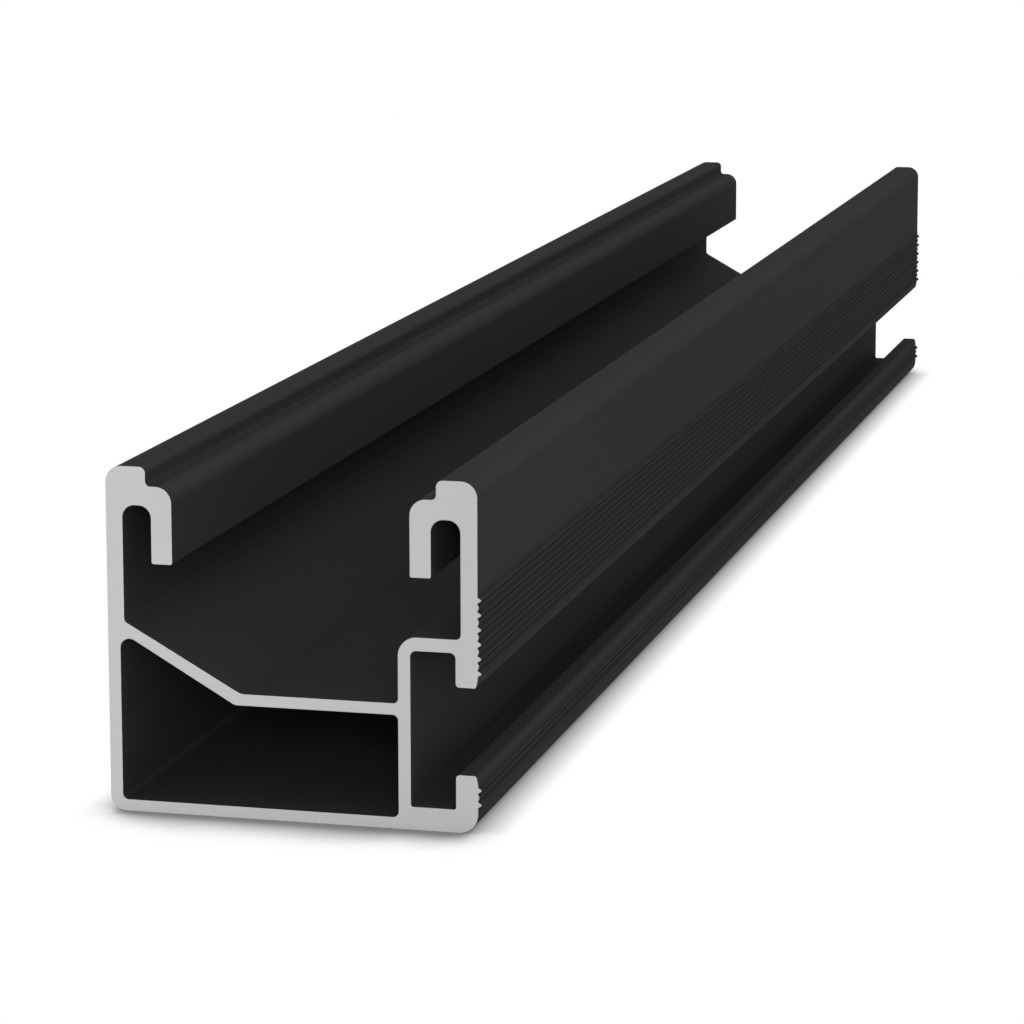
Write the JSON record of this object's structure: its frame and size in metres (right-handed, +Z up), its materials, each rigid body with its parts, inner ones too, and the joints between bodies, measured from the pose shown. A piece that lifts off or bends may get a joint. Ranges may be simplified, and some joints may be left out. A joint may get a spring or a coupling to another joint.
{
  "type": "solar mounting rail",
  "caption": "Black anodised aluminium rail with a hooked top channel for module clamps, a slotted side channel beside a ribbed wall and a closed chamber below.",
  "frame": {"origin": "on the underside, at mid length and at the middle of the body's width, which is also the middle of the top channel's mouth", "axes": "+Y along the rail, +Z up through the open top channel, +X out through the side channel's slot"},
  "size_m": [0.0394, 0.3, 0.036],
  "materials": {
    "anodised": "satin black anodised, with bare sawn metal on the two cut ends"
  },
  "bodies": {
    "root": {"rail": "anodised"}
  },
  "joints": []
}
